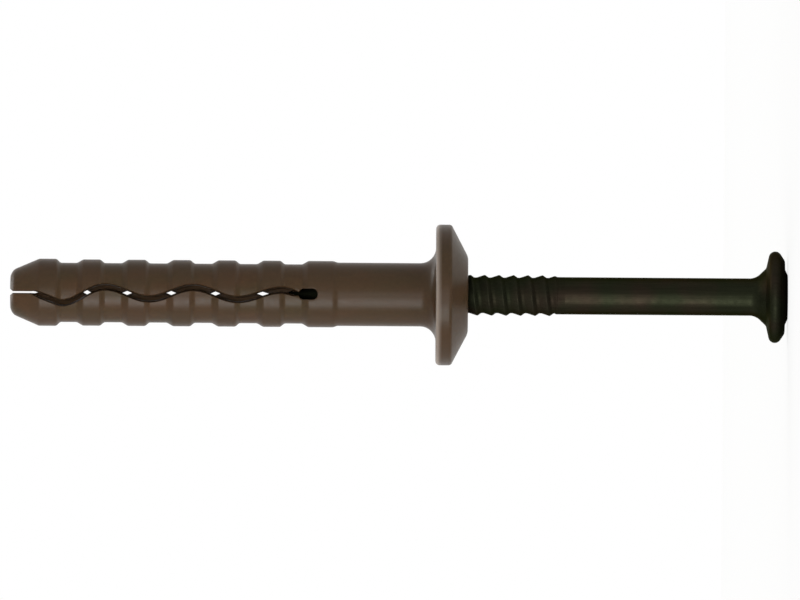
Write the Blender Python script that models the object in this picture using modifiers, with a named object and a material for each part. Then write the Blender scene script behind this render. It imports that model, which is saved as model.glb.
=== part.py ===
"""Hammer fixing plug: a moulded plastic sleeve with a mushroom collar, and the steel nail screw set ready in it.

The fixing stands on the nail's head at the world origin, with the sleeve's nose up the Z axis.
Every size is in metres. The nail is driven up the Z axis, until its head meets the collar.
"""

import math

import bmesh
import bpy
from mathutils import Matrix, Vector

# Nail screw: head
HEAD_RADIUS = 0.00429
HEAD_THICKNESS = 0.00175
HEAD_UNDER_FALL = 0.00033
HEAD_EDGE_HEIGHT = 0.0006
HEAD_EDGE_WIDTH = 0.00099
HEAD_EDGE_EASE = 0.00025
HEAD_UNDER_EDGE = 0.00035
BUTTON_RADIUS = 0.00194
BUTTON_FLARE = 0.0006
BUTTON_HEIGHT = 0.00027
CONE_RADIUS = 0.0027
CONE_HEIGHT = 0.001
CONE_FILLET = 0.0006

# Nail screw: cross recess
RECESS_RADIUS = 0.00165
RECESS_FLOOR_RADIUS = 0.0007
RECESS_WIDTH = 0.0008
RECESS_FLOOR_WIDTH = 0.00045
RECESS_CORE_RADIUS = 0.0009
RECESS_CORE_FLOOR_RADIUS = 0.00056
RECESS_DEPTH = 0.0019
RECESS_TIP = 0.0003

# Nail screw: shank, thread and point
NAIL_LENGTH = 0.045
SHANK_RADIUS = 0.00175
THREAD_RADIUS = 0.00192
THREAD_ROOT_RADIUS = 0.00167
THREAD_PITCH = 0.001355
THREAD_LENGTH = 0.0256
THREAD_STEEP_SHARE = 0.26
THREAD_ROOT_SHARE = 0.18
THREAD_RUN_OUT = 0.0011
THREAD_SINK = 0.00008
POINT_LENGTH = 0.0044
POINT_BLUNT_RADIUS = 0.00012

# Sleeve: collar
COLLAR_RADIUS = 0.0066
COLLAR_THICKNESS = 0.00303
COLLAR_RIM_HEIGHT = 0.00144
COLLAR_EDGE_RADIUS = 0.0004
COLLAR_RIM_EASE = 0.00018
COLLAR_CONE_END_RADIUS = 0.00357
COLLAR_FACE_EASE = 0.0003
COLLAR_FILLET = 0.00145

# Sleeve: body
SLEEVE_LENGTH = 0.0399
NECK_RADIUS = 0.00297
NECK_LENGTH = 0.009
RING_RADIUS = 0.00311
GROOVE_RADIUS = 0.00278
RING_PITCH = 0.004225
RING_CREST = 0.00162
LONG_RING_CREST = 0.00235
RING_LEAD_FLANK = 0.00056
RING_HOLD_FLANK = 0.00038
NOSE_RING_RADIUS = 0.00315
NOSE_RING_CREST = 0.00184
NOSE_LENGTH = 0.0034
NOSE_TAPER_LENGTH = 0.0027
NOSE_END_RADIUS = 0.00199
NOSE_EASE = 0.0006

# Sleeve: slots
SLOT_WIDTH = 0.00032
WAVE_HEIGHT = 0.00056
WAVE_START_HEIGHT = 0.00036
WAVE_NOSE_HEIGHT = 0.001
WAVE_LEAD = 0.00135
WAVE_PITCH = 0.00414
SLOT_STEPS = 9
SLIT_WIDTH = 0.00016
SLIT_LENGTH = 0.00175
MOUTH_WIDTH = 0.0006
MOUTH_DEPTH = 0.00025
END_HOLE_WIDTH = 0.0009
END_HOLE_LENGTH = 0.0015

# Fit of the nail in the sleeve
NAIL_STAND_OUT = 0.02795
SEAT_GAP = 0.0001
MOUTH_CLEARANCE = 0.0001
BORE_CLEARANCE = 0.0001
POINT_CLEARANCE = 0.00025

# Fineness of the turned shapes
SLEEVE_SIDES = 40
NAIL_SIDES = 32
THREAD_SIDES = 16
ARC_STEPS = 4

MERGE = 0.00001
CUT_MARGIN = 0.001

# Heights along the axis
HEAD_UNDER_Z = BUTTON_HEIGHT + HEAD_THICKNESS
NAIL_TIP_Z = HEAD_UNDER_Z + NAIL_LENGTH
POINT_Z = NAIL_TIP_Z - POINT_LENGTH
THREAD_Z = NAIL_TIP_Z - THREAD_LENGTH
COLLAR_FACE_Z = HEAD_UNDER_Z + NAIL_STAND_OUT
COLLAR_UNDER_Z = COLLAR_FACE_Z + COLLAR_THICKNESS
NOSE_Z = COLLAR_UNDER_Z + SLEEVE_LENGTH
NOSE_RING_Z = NOSE_Z - NOSE_LENGTH

# The nail's travel, from where it waits to where its head is home
TRAVEL = NAIL_STAND_OUT - SEAT_GAP
BORE_RADIUS = THREAD_RADIUS + BORE_CLEARANCE


def clear_scene():
    for old in list(bpy.data.objects):
        bpy.data.objects.remove(old, do_unlink=True)


def new_collection(name):
    collection = bpy.data.collections.new(name)
    bpy.context.scene.collection.children.link(collection)
    return collection


def material(name, colour, roughness, metallic):
    made = bpy.data.materials.new(name)
    made.use_nodes = True
    shader = made.node_tree.nodes["Principled BSDF"]
    shader.inputs["Base Color"].default_value = (*colour, 1)
    shader.inputs["Roughness"].default_value = roughness
    shader.inputs["Metallic"].default_value = metallic
    return made


def arc(centre, radii, start, end, steps=ARC_STEPS):
    """Points on an ellipse's arc in the (radius, height) plane, angles in degrees from the outward direction."""
    angles = [math.radians(start + (end - start) * i / steps) for i in range(steps + 1)]
    return [(centre[0] + radii[0] * math.cos(a), centre[1] + radii[1] * math.sin(a)) for a in angles]


def eased(before, corner, after, reach, steps=3):
    """A corner of an outline as a short curve, which leaves each side at reach from the corner."""
    start = corner + (before - corner).normalized() * reach
    end = corner + (after - corner).normalized() * reach
    shares = [i / steps for i in range(steps + 1)]
    return [tuple(start * (1 - t) ** 2 + corner * 2 * t * (1 - t) + end * t**2) for t in shares]


def new_object(name, mesh, collection):
    obj = bpy.data.objects.new(name, mesh)
    collection.objects.link(obj)
    return obj


def turned(name, profile, collection, sides, closed=False, lift=0.0):
    """A profile of (radius, height) points turned about Z, or screwed up it by lift in its one turn.

    The profile runs down its outer side. An open one starts and ends on the axis, a closed one is a ring's section.
    """
    mesh = bpy.data.meshes.new(name)
    count = len(profile)
    edges = [(i, i + 1) for i in range(count - 1)] + ([(count - 1, 0)] if closed else [])
    mesh.from_pydata([(radius, 0, height) for radius, height in profile], edges, [])
    obj = new_object(name, mesh, collection)
    screw = obj.modifiers.new("turn", "SCREW")
    screw.axis = "Z"
    screw.angle = 2 * math.pi
    screw.screw_offset = lift
    screw.steps = screw.render_steps = sides
    screw.use_merge_vertices = True
    screw.merge_threshold = MERGE
    return obj


def flat_cutter(name, outline, half_depth, collection):
    """A flat outline of (x, z) points, extruded along Y to both sides of the axis."""
    curve = bpy.data.curves.new(name, "CURVE")
    curve.dimensions = "2D"
    curve.fill_mode = "BOTH"
    curve.extrude = half_depth
    spline = curve.splines.new("POLY")
    spline.points.add(len(outline) - 1)
    for point, (x, z) in zip(spline.points, outline):
        point.co = (x, z, 0, 1)
    spline.use_cyclic_u = True
    drawn = new_object(name + "_outline", curve, collection)
    drawn.matrix_world = Matrix.Rotation(math.radians(90), 4, "X")
    return made_mesh(name, drawn, collection)


def made_mesh(name, source, collection):
    """The source's evaluated shape as a plain mesh of its own: welded, with its holes filled, in triangles."""
    bpy.context.view_layer.update()
    mesh = bpy.data.meshes.new_from_object(source.evaluated_get(bpy.context.evaluated_depsgraph_get()))
    solid = bmesh.new()
    solid.from_mesh(mesh)
    bmesh.ops.remove_doubles(solid, verts=solid.verts, dist=MERGE)
    bmesh.ops.holes_fill(solid, edges=[edge for edge in solid.edges if edge.is_boundary])
    bmesh.ops.dissolve_degenerate(solid, edges=solid.edges, dist=MERGE / 100)
    bmesh.ops.triangulate(solid, faces=solid.faces)
    solid.to_mesh(mesh)
    solid.free()
    obj = new_object(name, mesh, collection)
    obj.matrix_world = source.matrix_world
    bpy.data.objects.remove(source)
    return obj


def join(obj, other, operation):
    step = obj.modifiers.new(other.name, "BOOLEAN")
    step.operation = operation
    step.solver = "EXACT"
    step.object = other


def hide(collection):
    for guide in collection.objects:
        guide.hide_render = True
        guide.display_type = "WIRE"


def smooth(obj):
    obj.data.shade_smooth()
    obj.data.set_sharp_from_angle(angle=math.radians(35))


def nail_body(cutters):
    """The head and the plain shank: a low button, a disc with a bevelled edge, a cone and the shank."""
    shank_end = THREAD_Z + THREAD_RUN_OUT / 4
    stub_end = shank_end + THREAD_RUN_OUT / 4
    edge_z = BUTTON_HEIGHT + HEAD_EDGE_HEIGHT
    under_edge = (HEAD_RADIUS - HEAD_UNDER_EDGE, HEAD_UNDER_Z - HEAD_UNDER_FALL - HEAD_UNDER_EDGE)
    profile = [(0, stub_end), (THREAD_ROOT_RADIUS - THREAD_SINK, stub_end), (SHANK_RADIUS, shank_end)]
    profile += [(SHANK_RADIUS, HEAD_UNDER_Z + CONE_HEIGHT + CONE_FILLET / 2)]
    slope = (CONE_RADIUS - SHANK_RADIUS) / CONE_HEIGHT
    profile += [(SHANK_RADIUS + slope * CONE_FILLET / 8, HEAD_UNDER_Z + CONE_HEIGHT)]
    profile += [(SHANK_RADIUS + slope * CONE_FILLET / 2, HEAD_UNDER_Z + CONE_HEIGHT - CONE_FILLET / 2)]
    profile += [(CONE_RADIUS, HEAD_UNDER_Z)]
    profile += arc(under_edge, (HEAD_UNDER_EDGE, HEAD_UNDER_EDGE), 90, 0, 3)
    bevel_end = Vector((HEAD_RADIUS - HEAD_EDGE_WIDTH, BUTTON_HEIGHT))
    rim_start = Vector((HEAD_RADIUS, under_edge[1]))
    profile += eased(rim_start, Vector((HEAD_RADIUS, edge_z)), bevel_end, HEAD_EDGE_EASE)
    profile += [tuple(bevel_end), (BUTTON_RADIUS + BUTTON_FLARE, BUTTON_HEIGHT)]
    profile += [(BUTTON_RADIUS, 0), (0, 0)]
    return turned("nail_body", profile, cutters, NAIL_SIDES)


def thread_rod(cutters):
    """One turn of a saw-toothed edge, raised by a pitch as it goes round, so that each tooth meets the next.

    The steep side of each tooth faces the head, which holds the driven nail, and the gentle side faces the point.
    """
    teeth = math.ceil(THREAD_LENGTH / THREAD_PITCH) + 2
    start = NAIL_TIP_Z - (teeth - 1) * THREAD_PITCH
    steep = THREAD_PITCH * THREAD_STEEP_SHARE
    root = THREAD_PITCH * THREAD_ROOT_SHARE
    profile = [(0, start), (THREAD_ROOT_RADIUS, start)]
    for tooth in range(teeth):
        foot = start + tooth * THREAD_PITCH
        profile += [(THREAD_RADIUS, foot + steep), (THREAD_ROOT_RADIUS, foot + THREAD_PITCH - root)]
        profile += [(THREAD_ROOT_RADIUS, foot + THREAD_PITCH)]
    profile += [(0, start + teeth * THREAD_PITCH)]
    sweep = turned("thread_sweep", profile[::-1], cutters, THREAD_SIDES, lift=THREAD_PITCH)
    return made_mesh("thread_rod", sweep, cutters)


def thread_envelope(cutters):
    """What the blank leaves of the thread: it fades into the shank, and is ground to a point at the other end."""
    wide = THREAD_RADIUS + CUT_MARGIN / 4
    start = THREAD_Z - THREAD_RUN_OUT / 4
    profile = [(0, NAIL_TIP_Z), (POINT_BLUNT_RADIUS, NAIL_TIP_Z - POINT_BLUNT_RADIUS / 2)]
    profile += [(THREAD_ROOT_RADIUS, POINT_Z), (wide, POINT_Z - THREAD_RUN_OUT)]
    profile += [(wide, THREAD_Z + THREAD_RUN_OUT), (THREAD_ROOT_RADIUS - THREAD_SINK, start), (0, start)]
    return turned("thread_envelope", profile, cutters, NAIL_SIDES)


def recess_wing(name, turn, cutters):
    """One wing pair of the cross recess: a four-sided frustum, long one way and narrow the other."""
    wing = bmesh.new()
    bmesh.ops.create_cube(wing, size=1)
    for vertex in wing.verts:
        floor = vertex.co.z > 0
        length = RECESS_FLOOR_RADIUS if floor else RECESS_RADIUS
        width = RECESS_FLOOR_WIDTH if floor else RECESS_WIDTH
        vertex.co.x *= 2 * length
        vertex.co.y *= width
        vertex.co.z = RECESS_DEPTH if floor else 0
    # The same taper carried on below the head, so that the cut starts clear of it
    for vertex in wing.verts:
        if vertex.co.z == 0:
            share = CUT_MARGIN / RECESS_DEPTH
            vertex.co.x *= 1 + share * (1 - RECESS_FLOOR_RADIUS / RECESS_RADIUS)
            vertex.co.y *= 1 + share * (1 - RECESS_FLOOR_WIDTH / RECESS_WIDTH)
            vertex.co.z = -CUT_MARGIN
    mesh = bpy.data.meshes.new(name)
    wing.to_mesh(mesh)
    wing.free()
    obj = new_object(name, mesh, cutters)
    obj.rotation_euler.z = turn
    return obj


def recess_core(cutters):
    """The round middle of the cross recess, which ends in a shallow cone."""
    profile = [(0, RECESS_DEPTH + RECESS_TIP), (RECESS_CORE_FLOOR_RADIUS, RECESS_DEPTH)]
    profile += [(RECESS_CORE_RADIUS, 0), (RECESS_CORE_RADIUS, -CUT_MARGIN), (0, -CUT_MARGIN)]
    return turned("recess_core", profile, cutters, THREAD_SIDES)


def nail_screw(parts, cutters, steel):
    body = nail_body(cutters)
    rod = thread_rod(cutters)
    join(rod, thread_envelope(cutters), "INTERSECT")
    join(body, made_mesh("nail_thread", rod, cutters), "UNION")
    for wing in range(2):
        join(body, recess_wing(f"recess_wing_{wing + 1}", math.radians(45 + 90 * wing), cutters), "DIFFERENCE")
    join(body, recess_core(cutters), "DIFFERENCE")
    cutters.objects.unlink(body)
    parts.objects.link(body)
    body.name = body.data.name = "nail_screw"
    body.data.materials.append(steel)
    smooth(body)
    return body


def ring_centres():
    """Centres of the short rings and of the long one, laid back from the nose as far as the plain neck lets them."""
    extra = (LONG_RING_CREST - RING_CREST) / 2
    last = COLLAR_UNDER_Z + NECK_LENGTH + RING_HOLD_FLANK + LONG_RING_CREST / 2
    pitches = max(1, math.floor((NOSE_RING_Z - extra - last) / RING_PITCH))
    short = [NOSE_RING_Z - RING_PITCH * i for i in range(1, pitches)]
    return short, NOSE_RING_Z - RING_PITCH * pitches - extra


def ring(centre, crest, radius, behind):
    """A ring's outline, going down: a gentle flank towards the nose and a steep one towards the collar."""
    top, bottom = centre + crest / 2, centre - crest / 2
    return [
        (GROOVE_RADIUS, top + RING_LEAD_FLANK),
        (radius, top),
        (radius, bottom),
        (behind, bottom - RING_HOLD_FLANK),
    ]


def sleeve_outside():
    """The sleeve's outline from the nose down to the collar's face."""
    taper_start = Vector((NOSE_RING_RADIUS, NOSE_Z - NOSE_TAPER_LENGTH))
    profile = eased(Vector((0, NOSE_Z)), Vector((NOSE_END_RADIUS, NOSE_Z)), taper_start, NOSE_EASE, 5)
    profile += [tuple(taper_start)]
    profile += ring(NOSE_RING_Z, NOSE_RING_CREST, NOSE_RING_RADIUS, GROOVE_RADIUS)[2:]
    short, long_ring = ring_centres()
    for centre in short:
        profile += ring(centre, RING_CREST, RING_RADIUS, GROOVE_RADIUS)
    profile += ring(long_ring, LONG_RING_CREST, RING_RADIUS, NECK_RADIUS)
    fillet = (NECK_RADIUS + COLLAR_FILLET, COLLAR_UNDER_Z + COLLAR_FILLET)
    profile += arc(fillet, (COLLAR_FILLET, COLLAR_FILLET), 180, 270)
    edge = (COLLAR_RADIUS - COLLAR_EDGE_RADIUS, COLLAR_UNDER_Z - COLLAR_EDGE_RADIUS)
    profile += arc(edge, (COLLAR_EDGE_RADIUS, COLLAR_EDGE_RADIUS), 90, 0, 3)
    rim_end = Vector((COLLAR_RADIUS, COLLAR_UNDER_Z - COLLAR_RIM_HEIGHT))
    cone_end = Vector((COLLAR_CONE_END_RADIUS, COLLAR_FACE_Z))
    profile += eased(Vector((COLLAR_RADIUS, edge[1])), rim_end, cone_end, COLLAR_RIM_EASE)
    return profile + eased(rim_end, cone_end, Vector((0, COLLAR_FACE_Z)), COLLAR_FACE_EASE)


def sleeve_inside():
    """The bore's outline from the collar's face up to the nose: countersink, bore, and a taper round the point."""
    slope = (CONE_RADIUS - SHANK_RADIUS) / CONE_HEIGHT
    mouth_radius = CONE_RADIUS + MOUTH_CLEARANCE
    sink_depth = (mouth_radius - BORE_RADIUS) / slope
    profile = [(mouth_radius, COLLAR_FACE_Z), (BORE_RADIUS, COLLAR_FACE_Z + sink_depth)]
    driven_point_z = POINT_Z + TRAVEL
    driven_tip_z = NAIL_TIP_Z + TRAVEL
    past_nose = min(max(driven_tip_z - NOSE_Z, 0), POINT_LENGTH)
    hole_radius = THREAD_ROOT_RADIUS * past_nose / POINT_LENGTH + POINT_CLEARANCE
    taper_start = min(driven_point_z - THREAD_RUN_OUT / 2, NOSE_Z - NOSE_EASE)
    return profile + [(BORE_RADIUS, taper_start), (min(hole_radius, NOSE_END_RADIUS - NOSE_EASE), NOSE_Z)]


def half_wave(start, end, steps=SLOT_STEPS):
    """Points from one turn of the wave to the next: half a cosine, so that both turns are round."""
    (x0, z0), (x1, z1) = start, end
    shares = [i / steps for i in range(steps)]
    return [(x0 + (x1 - x0) * (1 - math.cos(math.pi * t)) / 2, z0 + (z1 - z0) * t) for t in shares]


def slot_path():
    """The middle line of a slot, as (x, z) points from its end hole to the straight slit in the nose.

    It turns once behind each ring, each time to the other side, and dips deepest behind the nose ring.
    """
    count = len(ring_centres()[0]) + 1
    turns = [NOSE_RING_Z - WAVE_LEAD - WAVE_PITCH * i for i in reversed(range(count))]
    heights = [WAVE_HEIGHT * (-1) ** i for i in range(len(turns))]
    if len(turns) % 2:
        heights = [-height for height in heights]
    heights[0] *= WAVE_START_HEIGHT / WAVE_HEIGHT
    heights[-1] *= WAVE_NOSE_HEIGHT / WAVE_HEIGHT
    marks = [(0, end_hole_z() + END_HOLE_LENGTH / 2 - END_HOLE_WIDTH / 4)]
    marks += list(zip(heights, turns))
    path = [point for start, end in zip(marks, marks[1:]) for point in half_wave(start, end)]
    return path + [marks[-1], (0, NOSE_Z - SLIT_LENGTH)]


def end_hole_z():
    return ring_centres()[1] + LONG_RING_CREST / 2


def slot_blade(name, side, cutters):
    """The wavy blade that leaves one slot: its middle line drawn out from the axis, then given the slot's width."""
    reach = (COLLAR_RADIUS + CUT_MARGIN) * side
    path = [(x * -side, z) for x, z in slot_path()]
    count = len(path)
    mesh = bpy.data.meshes.new(name)
    sheet = [(x, y, z) for y in (0, reach) for x, z in path]
    mesh.from_pydata(sheet, [], [(i, i + 1, i + 1 + count, i + count) for i in range(count - 1)])
    blade = new_object(name, mesh, cutters)
    wall = blade.modifiers.new("width", "SOLIDIFY")
    wall.thickness = SLOT_WIDTH
    wall.offset = 0
    wall.use_even_offset = True
    return blade


def end_hole(cutters):
    """The long round-ended hole where both slots end, cut through both walls."""
    radius = END_HOLE_WIDTH / 2
    run = (END_HOLE_LENGTH - END_HOLE_WIDTH) / 2
    centre = end_hole_z()
    outline = arc((0, centre + run), (radius, radius), 0, 180, 6) + arc((0, centre - run), (radius, radius), 180, 360, 6)
    return flat_cutter("end_hole", outline, COLLAR_RADIUS + CUT_MARGIN, cutters)


def nose_slit(cutters):
    """The fine straight slit that both slots end in, through both walls, with its flare at the nose."""
    flare = (MOUTH_WIDTH - SLIT_WIDTH) / MOUTH_DEPTH
    side = [(SLIT_WIDTH / 2, NOSE_Z - SLIT_LENGTH - SLOT_WIDTH), (SLIT_WIDTH / 2, NOSE_Z - MOUTH_DEPTH)]
    side += [(MOUTH_WIDTH / 2 + flare * CUT_MARGIN / 2, NOSE_Z + CUT_MARGIN)]
    outline = side + [(-x, z) for x, z in reversed(side)]
    return flat_cutter("nose_slit", outline, COLLAR_RADIUS + CUT_MARGIN, cutters)


def plug_sleeve(parts, cutters, plastic):
    sleeve = turned("plug_sleeve", sleeve_outside() + sleeve_inside(), parts, SLEEVE_SIDES, closed=True)
    join(sleeve, slot_blade("front_slot", -1, cutters), "DIFFERENCE")
    join(sleeve, slot_blade("back_slot", 1, cutters), "DIFFERENCE")
    join(sleeve, end_hole(cutters), "DIFFERENCE")
    join(sleeve, nose_slit(cutters), "DIFFERENCE")
    sleeve.data.materials.append(plastic)
    smooth(sleeve)
    return sleeve


def main():
    clear_scene()
    parts = new_collection("hammer_fixing_plug")
    cutters = new_collection("cutters")
    plastic = material("brown_moulded_nylon", (0.067, 0.042, 0.026), 0.45, 0.0)
    steel = material("burnished_steel", (0.016, 0.016, 0.01), 0.4, 0.9)
    plug_sleeve(parts, cutters, plastic)
    nail_screw(parts, cutters, steel)
    hide(cutters)


main()
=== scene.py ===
"""Looks of a hammer fixing plug: a moulded plastic sleeve, and the steel drive nail that waits in its bore.

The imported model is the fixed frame. Both of its nodes are replaced by fine surfaces of the same form,
worked out with numpy and laid on the frame's own sizes. Every length is in metres. +Z runs from the nail's
head to the nose, one slot faces -Y, which is the front, and the other +Y.
"""

import math

import bmesh
import bpy
import numpy as np
from mathutils import Matrix, Vector


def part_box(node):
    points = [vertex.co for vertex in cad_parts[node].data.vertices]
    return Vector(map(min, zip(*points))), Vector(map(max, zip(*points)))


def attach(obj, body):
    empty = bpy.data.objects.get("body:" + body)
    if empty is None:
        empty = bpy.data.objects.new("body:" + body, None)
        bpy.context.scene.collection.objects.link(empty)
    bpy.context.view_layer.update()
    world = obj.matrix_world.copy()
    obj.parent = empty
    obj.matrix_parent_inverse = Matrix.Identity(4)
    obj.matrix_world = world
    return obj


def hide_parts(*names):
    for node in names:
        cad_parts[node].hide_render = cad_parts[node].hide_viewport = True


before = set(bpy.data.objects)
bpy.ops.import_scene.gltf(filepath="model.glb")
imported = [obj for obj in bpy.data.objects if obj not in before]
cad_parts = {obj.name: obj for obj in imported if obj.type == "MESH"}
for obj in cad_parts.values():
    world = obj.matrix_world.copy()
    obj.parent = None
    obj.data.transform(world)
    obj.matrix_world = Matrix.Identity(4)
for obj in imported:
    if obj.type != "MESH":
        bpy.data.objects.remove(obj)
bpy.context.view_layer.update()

bl_info = {
    "name": "Hammer fixing plug",
    "version": (1, 0, 0),
    "blender": (4, 5, 0),
    "location": "3D View > Sidebar > Fixing",
    "description": "Dresses a hammer fixing plug with fine surfaces and procedural materials",
    "category": "Object",
}

SLEEVE_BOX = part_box("plug_sleeve")
NAIL_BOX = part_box("nail_screw")
MILLIMETRE = 0.001

# Points closer together than this are welded
WELD = 0.0000002
# Faces that meet at a larger turn than this show an edge
SHARP_ANGLE = math.radians(50)
# How far a cubic curve's handles reach towards the corner that it rounds
QUARTER_CIRCLE_HANDLE = 0.5523

# Small roundings of the collar's mouth, its countersink, the head's button and the head's cone
MOUTH_EASE = 0.06 * MILLIMETRE
SINK_EASE = 0.1 * MILLIMETRE
BUTTON_EASE = 0.15 * MILLIMETRE
CONE_EASE = 0.12 * MILLIMETRE
# How deep the bore's painted light goes, and how wide the wear on the head's rim is
PAINTED_BORE_LIGHT_DEPTH = 0.05 * MILLIMETRE
RIM_WEAR = 0.3 * MILLIMETRE

# Distances between the rows of points
SLOTTED_ROWS = 0.18 * MILLIMETRE
CLOSEST_ROWS = 0.008 * MILLIMETRE
NECK_ROWS = 0.1 * MILLIMETRE
COLLAR_ROWS = 0.25 * MILLIMETRE
NAIL_ROWS = 0.5 * MILLIMETRE

# Numbers of steps or rows
CORNER_STEPS = 8
NOSE_STEPS = 60
WAVE_STEPS = 32
LEG_COLUMNS = 40
WALL_STEPS = 4
TURN_ROWS = 36
POINT_ROWS = 90
FLOOR_SIDES = 96

# Shares of a pitch that are the thread's steep flank and its root
THREAD_STEEP = 0.26
THREAD_ROOT = 0.18
# The blank that the thread is rolled from, as shares of the crest's and the root's radius
BLANK_WIDE = 1.1
BLANK_NARROW = 0.95
# Reach, width and core of the cross recess's floor as shares of its mouth's, and its tip's of its depth
RECESS_FLOOR = (0.42, 0.56, 0.62)
RECESS_TIP = 0.15

# Sizes of the plastic's flow marks, its mottling and its grain. The real grain is about 0.02 mm; it is
# drawn coarser, because finer than that doesn't show in the render
FLOW_MARK = 2.2 * MILLIMETRE
FLOW_STRETCH = 0.45
MOTTLE = 0.35 * MILLIMETRE
GRAIN = 0.12 * MILLIMETRE
# Sizes of the steel's tinted and rubbed patches, and the distance between the drawing die's lines. The
# real lines are finer than 0.02 mm; they are drawn coarser, so that the render shows them
TINT_PATCH = 4 * MILLIMETRE
RUBBED_PATCH = 0.5 * MILLIMETRE
DIE_LINE = 0.15 * MILLIMETRE
DIE_LINE_STRETCH = 0.03

# Each lamp's name, place, width, height and power in watts
LAMPS = (
    ("key_lamp", (-0.37, -0.62, 0.045), 0.36, 0.26, 4),
    ("front_lamp", (0, -0.9, 0.12), 0.05, 0.24, 1),
    ("side_lamp", (-0.72, 0, 0.2), 0.4, 0.5, 0.4),
    ("top_lamp", (0.1, 0.35, 0.85), 0.6, 0.6, 5),
)
WORLD_LEVEL = 0.42
# The floor's share of plain white for the camera; the rest takes light and shadow
FLOOR_WHITE = 0.75
# The camera's sensor width is in millimetres
SENSOR_WIDTH = 36
NEAREST = 0.1
FARTHEST = 10


def linear(hex_colour):
    """An sRGB hex colour as linear red, green and blue."""
    channels = [int(hex_colour[i:i + 2], 16) / 255 for i in (1, 3, 5)]
    return tuple(c / 12.92 if c <= 0.04045 else ((c + 0.055) / 1.055) ** 2.4 for c in channels)


def size(name, description, default):
    """A length that a user may change."""
    return bpy.props.FloatProperty(name=name, description=description, default=default, min=0,
                                   precision=5, unit="LENGTH")


def colour(name, description, hex_colour):
    """A colour that a user may change."""
    return bpy.props.FloatVectorProperty(name=name, description=description, default=linear(hex_colour),
                                         size=3, min=0, max=1, subtype="COLOR")


class SleeveSettings(bpy.types.PropertyGroup):
    """Sizes and colours of the moulded sleeve."""

    nose_height: size("Nose height", "Height of the nose end above the floor", SLEEVE_BOX[1].z)
    under_collar: size("Length under the collar", "From the collar's underside to the nose", 0.0399)
    collar_radius: size("Collar radius", "Radius of the collar's rim", SLEEVE_BOX[1].x)
    collar_thickness: size("Collar thickness", "From the collar's underside to its face", 0.00303)
    rim_height: size("Rim height", "From the collar's underside to the end of its rim", 0.00144)
    rim_edge: size("Rim edge", "Rounding between the rim and the underside", 0.0004)
    rim_ease: size("Rim ease", "Rounding between the rim and the cone", 0.0002)
    cone_end_radius: size("Cone end radius", "Radius at which the cone would meet the face", 0.00357)
    face_ease: size("Face ease", "Rounding between the cone and the face", 0.0003)
    collar_fillet: size("Collar fillet", "Rounding between the neck and the underside", 0.00145)
    mouth_radius: size("Mouth radius", "Radius of the countersink at the collar's face", 0.0028)
    bore_radius: size("Bore radius", "Radius of the bore", 0.00202)
    nose_bore_radius: size("Nose bore radius", "Radius of the bore's end in the nose", 0.001)
    bore_taper: size("Bore taper", "Length over which the bore narrows in the nose", 0.00298)
    neck_radius: size("Neck radius", "Radius of the plain neck", 0.00297)
    groove_radius: size("Groove radius", "Radius between the rings", 0.00278)
    ring_radius: size("Ring radius", "Radius of the grip rings", 0.00311)
    ring_pitch: size("Ring pitch", "Distance from one ring to the next", 0.004225)
    ring_crest: size("Ring crest", "Length of a ring's flat crest", 0.00162)
    long_ring_crest: size("Long ring crest", "Length of the crest of the ring by the neck", 0.00235)
    lead_flank: size("Lead flank", "Length of a ring's gentle flank", 0.00056)
    hold_flank: size("Hold flank", "Length of a ring's steep flank", 0.00038)
    ring_count: bpy.props.IntProperty(name="Short rings", description="Number of short rings",
                                      default=5, min=1)
    nose_ring_radius: size("Nose ring radius", "Radius of the ring behind the nose", 0.00315)
    nose_ring_crest: size("Nose ring crest", "Length of the nose ring's crest", 0.00184)
    nose_length: size("Nose length", "From the middle of the nose ring to the nose end", 0.0034)
    nose_taper: size("Nose taper", "Length of the nose's taper", 0.0027)
    nose_radius: size("Nose radius", "Radius at which the taper would meet the nose end", 0.00199)
    nose_ease: size("Nose ease", "Rounding between the taper and the nose end", 0.0006)
    corner_ease: size("Corner ease", "Length over which the mould's corners are rounded", 0.00022)
    slot_width: size("Slot width", "Width of the expansion slots", 0.00034)
    slot_corner: size("Slot corner", "Chamfer on the edges of the slit and the end hole", 0.00008)
    slot_flare: size("Slot flare", "How far each side of a slot opens towards the outside", 0.0002)
    flare_depth: size("Flare depth", "Depth at which a slot's sides become upright", 0.0007)
    slit_width: size("Slit width", "Width of the straight slit in the nose", 0.00016)
    slit_length: size("Slit length", "Length of the straight slit in the nose", 0.0021)
    wave_height: size("Wave height", "How far the slots swing to each side", 0.00056)
    wave_first: size("First wave", "Swing of the turn next to the end hole", 0.00036)
    wave_last: size("Last wave", "Swing of the turn next to the nose", 0.001)
    wave_lead: size("Wave lead", "From the middle of the nose ring back to the last turn", 0.00135)
    wave_pitch: size("Wave pitch", "Distance from one turn of the slots to the next", 0.00414)
    mouth_flare: size("Slot mouth", "Width of the slit at the nose end", 0.0006)
    mouth_depth: size("Slot mouth depth", "Length over which the slit widens at the nose", 0.00025)
    hole_width: size("End hole width", "Width of the hole where the slots end", 0.001)
    hole_length: size("End hole length", "Length of the hole where the slots end", 0.0018)
    plastic: colour("Plastic", "Main colour of the moulded plastic", "#422f1e")
    plastic_cool: colour("Cool plastic", "Olive tone of the plastic's flow marks", "#3c2f1d")
    plastic_rubbed: colour("Rubbed plastic", "Tone of the plastic on the rubbed rings", "#3e2e20")
    # Painted highlight: this pale tone on the collar's rounded underside edge stands in for the light that
    # edge catches
    rim_painted_highlight: colour("Worn plastic", "Tone of the collar's scuffed edge", "#84786e")
    # Painted light: the bore's wall is made paler to stand in for light reaching it through the slots
    bore_painted_light: colour("Bore plastic", "Paler tone of the bore's wall", "#7a6149")
    # Painted shade: the slots' sides are darkened to stand in for the shade inside them
    slot_painted_shade: colour("Slot plastic", "Darker tone of the slots' smooth sides", "#33261a")


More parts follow.
